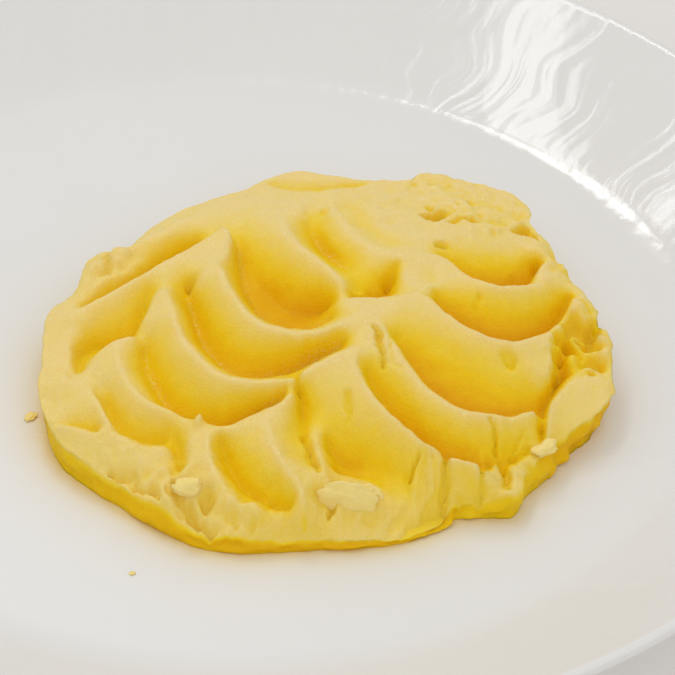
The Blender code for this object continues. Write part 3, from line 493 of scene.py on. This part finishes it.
class Relief:
    """Height map of the mash: a membrane hung from the edge, the crests and the creases."""

    MARGIN = 8.0

    def __init__(self, cell):
        edge = smooth_line(EDGE, closed=True)
        self.low = edge[:, :2].min(0) - self.MARGIN
        self.span = edge[:, :2].max(0) + self.MARGIN - self.low
        crests = [smooth_line(line) for line in CRESTS.values()]
        creases = [smooth_line(line) for line in CREASES.values()]
        fall = edge.copy()
        centre = np.array(MASH_CENTRE)
        outward = edge[:, :2] - centre
        fall[:, :2] += outward / np.linalg.norm(outward, axis=1)[:, None] * self.MARGIN * 0.6
        fall[:, 2] -= self.MARGIN * 0.6
        crest_points, crease_points = np.vstack(crests), np.vstack(creases)
        border = np.vstack([edge, fall])
        share = np.vstack([self.level(crest_points, 1), self.level(border, 1), self.level(crease_points, 0)])
        ridges = self.membrane(np.vstack([crest_points, border]), cell)
        hollows = self.membrane(np.vstack([crease_points, border]), cell)
        rise = np.clip(self.membrane(share, cell), 0, 1)
        drop = (ridges - hollows) * (1 - rise)
        deepest = np.maximum(ridges - hollows, 1e-3)
        x, y = self.plan(self.height)
        soft = np.interp(x, (14, 34), CREST_SOFTNESS) * np.minimum(1, deepest / 4)
        soft *= np.interp(self.facing(self.blur(ridges - drop, 0.8)), (-0.2, 0.35), (BACK_SHARPNESS, 1))
        drop = np.where(drop > 0, drop**2 / (np.abs(drop) + soft) * (deepest + soft) / deepest, drop)
        height = ridges - drop
        self.height = self.blur(height, ROUNDING)
        ends = np.array([line[k] for line in crests for k in (0, -1)])
        self.height += self.nearness(ends, 0.8) * (self.blur(height, END_ROUNDING) - self.height)
        self.depth = np.clip(ridges - self.height, 0, None)
        # Trail along the creases for the pale dots of painted glint.
        self.crease_glints = self.trail(np.vstack([smooth_line(CREASES[name]) for name in GLINT_CREASES]), 0.45)
        self.add_details()

    def facing(self, field):
        """1 where the ground falls to the front, -1 where it falls to the back."""
        slope_y, slope_x = np.gradient(field, self.cell)
        return (0.35 * slope_x + 0.94 * slope_y) / (np.hypot(slope_x, slope_y) + 0.05)

    def plan(self, field):
        """x and y of the cells of a field."""
        rows, columns = field.shape
        y, x = np.mgrid[:rows, :columns] * self.cell
        return x + self.low[0], y + self.low[1]

    def share(self, spots):
        """Largest amount of the spots (x, y, radius, amount) at each place, fading outwards."""
        x, y = self.plan(self.height)
        share = np.zeros_like(self.height)
        for cx, cy, radius, amount in spots:
            share = np.maximum(share, amount * np.exp(-((x - cx)**2 + (y - cy)**2) / radius**2 * 1.2))
        return share

    def add_details(self):
        x, y = self.plan(self.height)
        x = x + 0.45 * self.noise(2.2, 41) + 0.2 * self.noise(0.9, 42)
        y = y + 0.45 * self.noise(2.2, 43) + 0.2 * self.noise(0.9, 44)
        for line, width, depth in GROOVES:
            path = smooth_line(line, step=0.3)
            near = np.full_like(self.height, 1e6)
            for px, py in path:
                near = np.minimum(near, (x - px)**2 + (y - py)**2)
            self.height -= depth * np.exp(-near / width**2)
        for sign, spots in ((-1, PITS), (1, LUMPS)):
            for cx, cy, radius, amount in spots:
                far = ((x - cx)**2 + (y - cy)**2) / radius**2
                self.height += sign * amount * np.exp(-far**1.5)
        crumble = sum(self.noise(scale, seed) * share for scale, seed, share in
                      ((4.5, 1, 0.9), (2.4, 2, 0.7), (1.2, 3, 0.4)))
        self.height += self.share(TORN) * crumble
        self.height += self.share(GRAINY) * (0.6 * self.noise(1.7, 8) + 0.5 * self.noise(0.9, 9))
        self.height += self.share(LUMPY) * (0.7 * self.noise(5.0, 51) + 0.45 * self.noise(2.8, 52))
        self.height += 0.16 * self.noise(7.0, 5) + 0.06 * self.noise(2.5, 6) + 0.03 * self.noise(0.9, 7)

    def noise(self, scale, seed):
        """Smooth random heights of about -1 to 1, with bumps of that scale."""
        rows, columns = self.height.shape
        draw = np.random.default_rng(seed)
        coarse = draw.normal(size=(int(self.span[1] / scale) + 4, int(self.span[0] / scale) + 4))
        y, x = np.mgrid[:rows, :columns] * (self.cell / scale)
        i, j = y.astype(int), x.astype(int)
        a, b = y - i, x - j
        a, b = a * a * (3 - 2 * a), b * b * (3 - 2 * b)
        return ((coarse[i, j] * (1 - b) + coarse[i, j + 1] * b) * (1 - a)
                + (coarse[i + 1, j] * (1 - b) + coarse[i + 1, j + 1] * b) * a)

    def places(self, points):
        return np.rint((points[:, 1::-1] - self.low[::-1]) / self.cell).astype(int).T

    @staticmethod
    def level(points, value):
        """The same plan points, all at one height."""
        return np.column_stack([points[:, :2], np.full(len(points), float(value))])

    def membrane(self, lines, cell):
        """Heights of a skin stretched between the lines, relaxed on finer and finer grids."""
        self.cell, self.height = 8 * cell, None
        while True:
            self.relax(lines)
            if self.cell <= cell * 1.001:
                return self.height
            self.cell /= 2

    def relax(self, lines, passes=160, hurry=1.7):
        rows, columns = (np.ceil(self.span[::-1] / self.cell).astype(int) + 1)
        total, count = np.zeros((rows, columns)), np.zeros((rows, columns))
        at = self.places(lines)
        np.add.at(total, tuple(at), lines[:, 2])
        np.add.at(count, tuple(at), 1)
        pinned = count > 0
        y, x = np.mgrid[:rows, :columns] * self.cell
        if self.height is None:
            height = np.full((rows, columns), lines[:, 2].mean())
        else:
            height = self.sample(x + self.low[0], y + self.low[1], self.cell * 2)
        height[pinned] = total[pinned] / count[pinned]
        colour = np.add.outer(np.arange(rows), np.arange(columns)) % 2
        for _ in range(passes):
            for parity in (0, 1):
                padded = np.pad(height, 1, mode="edge")
                mean = (padded[2:, 1:-1] + padded[:-2, 1:-1] + padded[1:-1, 2:] + padded[1:-1, :-2]) / 4
                free = (colour == parity) & ~pinned
                height[free] += hurry * (mean - height)[free]
        self.height = height

    def sample(self, x, y, cell=None, field=None):
        """Bilinear height at plan positions."""
        cell = cell or self.cell
        h = self.height if field is None else field
        rows, columns = h.shape
        u = np.clip((x - self.low[0]) / cell, 0, columns - 1.001)
        v = np.clip((y - self.low[1]) / cell, 0, rows - 1.001)
        i, j = v.astype(int), u.astype(int)
        a, b = v - i, u - j
        return ((h[i, j] * (1 - b) + h[i, j + 1] * b) * (1 - a)
                + (h[i + 1, j] * (1 - b) + h[i + 1, j + 1] * b) * a)

    def blur(self, field, radius):
        reach = max(1, int(3 * radius / self.cell))
        kernel = np.exp(-0.5 * (np.arange(-reach, reach + 1) * self.cell / radius) ** 2)
        kernel /= kernel.sum()
        for axis in (0, 1):
            padded = np.pad(field, [(reach, reach) if a == axis else (0, 0) for a in (0, 1)], mode="edge")
            field = sum(w * np.take(padded, np.arange(k, k + field.shape[axis]), axis)
                        for k, w in enumerate(kernel))
        return field

    def nearness(self, points, reach):
        """1 at the points, falling to 0 away from them."""
        mark = np.zeros_like(self.height)
        mark[tuple(self.places(points))] = 1
        spread = self.blur(mark, reach)
        return np.clip(spread / (0.1 * (self.cell / reach)**2), 0, 1)

    def trail(self, points, reach):
        """1 along a line of points, falling to 0 beside it."""
        mark = np.zeros_like(self.height)
        mark[tuple(self.places(points))] = 1
        return np.clip(self.blur(mark, reach) * reach / self.cell * 2.5, 0, 1)

    def warp(self, x, y):
        """Plan positions pushed about a little, so that no edge runs quite true."""
        for scale, seed, amount in ((5.0, 11, 0.15), (1.8, 13, 0.09), (0.9, 15, 0.05)):
            x = x + amount * self.sample(x, y, field=self.noise(scale, seed))
            y = y + amount * self.sample(x, y, field=self.noise(scale, seed + 1))
        return x, y

    def hollow(self):
        """0 on open crests, 1 deep in the scoops: how much of the sky the ground around shuts out."""
        shut = np.zeros_like(self.height)
        directions = 16
        rows, columns = self.height.shape
        reach = 14.0
        steps = np.arange(0.8, reach, 0.8)
        pad = int(reach / self.cell) + 1
        padded = np.pad(self.height, pad, mode="edge")
        for k in range(directions):
            turn = 2 * math.pi * k / directions
            steepest = np.zeros_like(self.height)
            for step in steps:
                i = int(round(step * math.sin(turn) / self.cell)) + pad
                j = int(round(step * math.cos(turn) / self.cell)) + pad
                rise = padded[i:i + rows, j:j + columns] - self.height
                steepest = np.maximum(steepest, rise / step)
            shut += steepest / np.sqrt(1 + steepest**2)
        return shut / directions


def disc_grid(count):
    """A square grid of points bent into the unit disc, with quads for its faces."""
    side = np.linspace(-1, 1, count + 1)
    v, u = np.meshgrid(side, side, indexing="ij")
    x, y = u * np.sqrt(1 - v**2 / 2), v * np.sqrt(1 - u**2 / 2)
    k = np.arange((count + 1) ** 2).reshape(count + 1, count + 1)
    quads = np.stack([k[:-1, :-1], k[:-1, 1:], k[1:, 1:], k[1:, :-1]], -1).reshape(-1, 4)
    ring = np.concatenate([k[0, :-1], k[:-1, -1], k[-1, :0:-1], k[:0:-1, 0]])
    return x.ravel(), y.ravel(), quads, ring


def rough_ring(turn, seed, waves):
    """Seeded ragged offsets round a ring; waves are (how many round, how far)."""
    draw = np.random.default_rng(seed)
    total = np.zeros_like(turn)
    for count, amount in waves:
        knots = draw.normal(size=count)
        place = (turn % (2 * math.pi)) / (2 * math.pi) * count
        k = place.astype(int) % count
        t = place - np.floor(place)
        t = t * t * (3 - 2 * t)
        total += amount * (knots[k] * (1 - t) + knots[(k + 1) % count] * t)
    return total


def undercut(turn):
    """How far the foot of the mash draws in under its edge, by direction."""
    degrees = np.degrees(turn) % 360
    return np.interp(degrees, *zip(*UNDERCUT))


def build_mash(finish):
    relief = Relief(CELL)
    edge = smooth_line(EDGE, closed=True)
    centre = np.array(MASH_CENTRE)
    out = edge[:, :2] - centre
    angle, reach = np.arctan2(out[:, 1], out[:, 0]), np.linalg.norm(out, axis=1)
    order = np.argsort(angle)
    x, y, quads, ring = disc_grid(GRID)
    share, turn = np.hypot(x, y), np.arctan2(y, x)
    radius = np.interp(turn, angle[order], reach[order], period=2 * math.pi)
    ragged = np.interp(np.degrees(turn) % 360, *zip(*RAGGED))
    radius = radius + ragged * rough_ring(turn, 21, ((70, 0.3), (170, 0.14), (390, 0.07))) * share**4
    top = np.stack([centre[0] + share * radius * np.cos(turn),
                    centre[1] + share * radius * np.sin(turn)], 1)
    at_x, at_y = relief.warp(top[:, 0], top[:, 1])
    height = np.maximum(relief.sample(at_x, at_y), 1.0)
    hollow = relief.sample(at_x, at_y, field=relief.hollow())
    depth = relief.sample(at_x, at_y, field=relief.depth)
    crease_glints = relief.sample(at_x, at_y, field=relief.crease_glints)
    points, shade, deep = [np.column_stack([top, height])], [hollow], [depth]
    faces = [quads]
    rim, last, around = points[0][ring], ring, turn[ring]
    outward = np.column_stack([np.cos(around), np.sin(around)])
    # Painted shade on the wall under the edge, by direction; it adds to the depth that sets the gold.
    gold = np.interp(np.degrees(around) % 360, *zip(*WALL_UNDER_SHADE))
    bumps = [ragged[ring] * rough_ring(around, seed, ((60, 0.35), (150, 0.25))) for seed in (31, 32, 33)]
    for k in range(1, WALL_RINGS + 1):
        drop = k / WALL_RINGS
        level = rim[:, 2] * (1 - drop)
        inset = undercut(around) * np.sin(min(1, drop * 1.25) * math.pi / 2)
        wobble = sum(bump * math.sin(math.pi * drop * (n + 1)) for n, bump in enumerate(bumps))
        start = sum(len(p) for p in points)
        points.append(np.column_stack([rim[:, :2] - outward * (inset + wobble)[:, None], level]))
        shade.append(shade[0][ring] * (1 - min(1, 4 * drop)) + WALL_SHADE * min(1, 4 * drop))
        deep.append(deep[0][ring] + DEEP * gold * min(1, 3 * drop))
        new = np.arange(start, start + len(ring))
        faces.append(np.stack([last, new, np.roll(new, -1), np.roll(last, -1)], 1))
        last = new
    points = np.vstack(points)
    points[:, 2] += FLOOR_TOP
    mesh = bpy.data.meshes.new("mashed_potato")
    mesh.from_pydata((points * MM).tolist(), [], np.vstack(faces).tolist() + [last[::-1].tolist()])
    mesh.update()
    wall_points = np.zeros(len(points) - len(crease_glints))
    fields = {
        "hollow": (np.concatenate(shade) - OPEN_HOLLOW) / (DEEP_HOLLOW - OPEN_HOLLOW),
        "depth": np.concatenate(deep) / DEEP,
        "crease_glints": np.concatenate([crease_glints, wall_points]),
    }
    for name, values in fields.items():
        attribute = mesh.attributes.new(name, "FLOAT", "POINT")
        attribute.data.foreach_set("value", np.clip(values, 0, 1).astype(np.float32))
    add_piece("mashed_potato", mesh, finish, "mash")


def add_piece(name, mesh, finish, node):
    mesh.shade_smooth()
    mesh.materials.append(finish)
    thing = bpy.data.objects.new(name, mesh)
    bpy.context.scene.collection.objects.link(thing)
    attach(thing, "root")
    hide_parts(node)


def build_loose(finish):
    """Crumbs and torn flakes lying on the mash and beside it, as one mesh."""
    whole = bmesh.new()
    for seed, (x, y, z, length, width, height, turn, lean) in enumerate(LOOSE):
        ball = bmesh.new()
        bmesh.ops.create_icosphere(ball, subdivisions=4, radius=1.0)
        for vertex in ball.verts:
            at = vertex.co * 1.6 + Vector((7.3 * seed, 0, 0))
            swell = 1 + 0.35 * noise.noise(at) + 0.14 * noise.noise(at * 2.3) + 0.05 * noise.noise(at * 5.5)
            vertex.co *= swell
        place = (Matrix.Translation(Vector((x, y, z + FLOOR_TOP)) * MM)
                 @ Matrix.Rotation(math.radians(turn), 4, "Z") @ Matrix.Rotation(math.radians(lean), 4, "Y")
                 @ Matrix.Diagonal((length * MM, width * MM, height * MM, 1)))
        bmesh.ops.transform(ball, matrix=place, verts=ball.verts)
        part = bpy.data.meshes.new("crumb")
        ball.to_mesh(part)
        whole.from_mesh(part)
        ball.free()
    mesh = bpy.data.meshes.new("crumbs")
    whole.to_mesh(mesh)
    whole.free()
    add_piece("crumbs", mesh, finish, "mash")


# ---------------------------------------------------------------- plate

def plate_profile():
    """Half section from the axis on top, out over the rim and back along the underside."""
    radii = np.linspace(FILLET[0], PLATE_RADIUS - 2, 90)
    t = np.clip((radii - WELL_RADIUS) / (PLATE_RADIUS - 2 - WELL_RADIUS), 0, 1)
    slope = np.gradient(np.clip(t, 0.02, 1)**WALL_SWEEP, radii)
    ease = np.clip((radii - FILLET[0]) / (FILLET[1] - FILLET[0]), 0, 1)
    slope = np.where(radii < FILLET[1], ease**1.2 * np.interp(FILLET[1], radii, slope), slope)
    rise = np.concatenate([[0], np.cumsum((slope[1:] + slope[:-1]) / 2 * np.diff(radii))])
    wall = list(zip(radii, FLOOR_TOP + (PLATE_HEIGHT - 0.4 - FLOOR_TOP) * rise / rise[-1]))
    lip = [(PLATE_RADIUS - 1, PLATE_HEIGHT), (PLATE_RADIUS - 0.1, PLATE_HEIGHT - 0.5),
           (PLATE_RADIUS, PLATE_HEIGHT - 1.6)]
    under = [(r + 0.3, z - RIM_THICKNESS) for r, z in wall[:0:-4]]
    foot_out, foot_in = FOOT_RADIUS + FOOT_WIDTH / 2, FOOT_RADIUS - FOOT_WIDTH / 2
    below = FLOOR_TOP - FLOOR_THICKNESS
    foot = [(foot_out + 4, below), (foot_out, 0.6), (foot_out - 0.6, 0), (foot_in + 0.6, 0),
            (foot_in, 0.6), (foot_in - 1.5, below)]
    floor = [(FILLET[0] * t, FLOOR_TOP) for t in np.linspace(0, 0.99, 90)]
    return floor + wall + lip + under + foot + [(0, below)]


def build_plate(finish):
    profile = plate_profile()
    segments = 256
    turns = np.linspace(0, 2 * math.pi, segments, endpoint=False)
    middle = np.array(profile[1:-1])
    ring = np.stack([np.outer(np.cos(turns), middle[:, 0]), np.outer(np.sin(turns), middle[:, 0]),
                     np.tile(middle[:, 1], (segments, 1))], -1).reshape(-1, 3)
    points = np.vstack([ring, [(0, 0, profile[0][1])], [(0, 0, profile[-1][1])]])
    n = len(middle)
    faces = []
    for s in range(segments):
        a, b = s * n, (s + 1) % segments * n
        faces += [(a + k, a + k + 1, b + k + 1, b + k) for k in range(n - 1)]
        faces += [(len(ring), a, b), (len(ring) + 1, b + n - 1, a + n - 1)]
    mesh = bpy.data.meshes.new("glazed_plate")
    mesh.from_pydata((points * MM).tolist(), [], faces)
    # Painted yellow shadow on the glaze round the foot of the mash, strongest in front and fading outwards.
    edge = smooth_line(EDGE, step=1.0, closed=True)[:, :2]
    turn = np.arctan2(*(edge - MASH_CENTRE).T[::-1])
    edge -= np.column_stack([np.cos(turn), np.sin(turn)]) * undercut(turn)[:, None]
    near = np.array([np.hypot(*(edge - point[:2]).T).min() for point in points])
    front = np.interp(points[:, 1] + 0.5 * (points[:, 0] - MASH_CENTRE[0]), (-55, 15), (1, 0.2))
    painted_yellow_shadow = front * (0.75 * np.exp(-near / 2.2) + 0.18 * np.exp(-near / 7)) * (points[:, 2] > FLOOR_TOP - 0.1)
    attribute = mesh.attributes.new("painted_yellow_shadow", "FLOAT", "POINT")
    attribute.data.foreach_set("value", painted_yellow_shadow.astype(np.float32))
    add_piece("glazed_plate", mesh, finish, "plate")


# ---------------------------------------------------------------- studio

VIEW_CENTRE = Vector((20.4, 1.3, FLOOR_TOP)) * MM
VIEW_DISTANCE = 0.540
VIEW_ELEVATION = math.radians(39.64)
VIEW_ROLL = math.radians(2.47)
LENS = 142.7

# Soft panels: (name, place, length, width, power in watts, direction of the length), metres.
LIGHTS = (
    ("window", (-0.45, 0.32, 1.16), 0.95, 0.15, 1.7, (-0.43, -0.9, 0.09)),
    ("window_side", (-0.66, 0.60, 0.90), 0.5, 0.07, 0.5, (-0.44, -0.25, -0.08)),
    ("back_strip", (-0.24, 0.80, 1.04), 0.30, 0.14, 0.8, (1, 0, 0)),
    ("fill", (0.25, -0.85, 0.95), 1.0, 1.0, 1.9, (1, 0, 0)),
)


def add_camera():
    ahead = Vector((0, math.cos(VIEW_ELEVATION), -math.sin(VIEW_ELEVATION)))
    right = Vector((1, 0, 0))
    up = right.cross(ahead)
    side = right * math.cos(VIEW_ROLL) + up * math.sin(VIEW_ROLL)
    head = up * math.cos(VIEW_ROLL) - right * math.sin(VIEW_ROLL)
    place = VIEW_CENTRE - ahead * VIEW_DISTANCE
    data = bpy.data.cameras.new("view")
    data.lens = LENS
    data.clip_start = 0.02
    camera = bpy.data.objects.new("view", data)
    camera.matrix_world = Matrix((
        (side.x, head.x, -ahead.x, place.x),
        (side.y, head.y, -ahead.y, place.y),
        (side.z, head.z, -ahead.z, place.z),
        (0, 0, 0, 1)))
    bpy.context.scene.collection.objects.link(camera)
    bpy.context.scene.camera = camera


def add_light(name, place, length, width, power, turn):
    """A soft panel aimed at the mash, its length along the direction turn."""
    data = bpy.data.lights.new(name, "AREA")
    data.shape = "RECTANGLE"
    data.size, data.size_y = length, width
    data.energy = power
    back = Vector(place).normalized()
    along = (Vector(turn) - back * back.dot(Vector(turn))).normalized()
    up = back.cross(along)
    light = bpy.data.objects.new(name, data)
    light.matrix_world = Matrix((
        (along.x, up.x, back.x, place[0]),
        (along.y, up.y, back.y, place[1]),
        (along.z, up.z, back.z, place[2]),
        (0, 0, 0, 1)))
    bpy.context.scene.collection.objects.link(light)


def add_studio():
    world = bpy.data.worlds.new("studio")
    world.use_nodes = True
    world.node_tree.nodes["Background"].inputs["Color"].default_value = (1, 0.99, 0.965, 1)
    world.node_tree.nodes["Background"].inputs["Strength"].default_value = 0.71
    bpy.context.scene.world = world
    for name, place, length, width, power, turn in LIGHTS:
        add_light(name, place, length, width, power, turn)
    bpy.context.scene.view_settings.view_transform = "Standard"
    mesh = bpy.data.meshes.new("table")
    size = 1.5
    corners = [(-size, -size, 0), (size, -size, 0), (size, size, 0), (-size, size, 0)]
    mesh.from_pydata(corners, [], [(0, 1, 2, 3)])
    mesh.materials.append(table_finish())
    table = bpy.data.objects.new("table", mesh)
    bpy.context.scene.collection.objects.link(table)


add_camera()
add_studio()
build_plate(glaze_finish())
build_mash(mash_finish())
build_loose(crumb_finish())
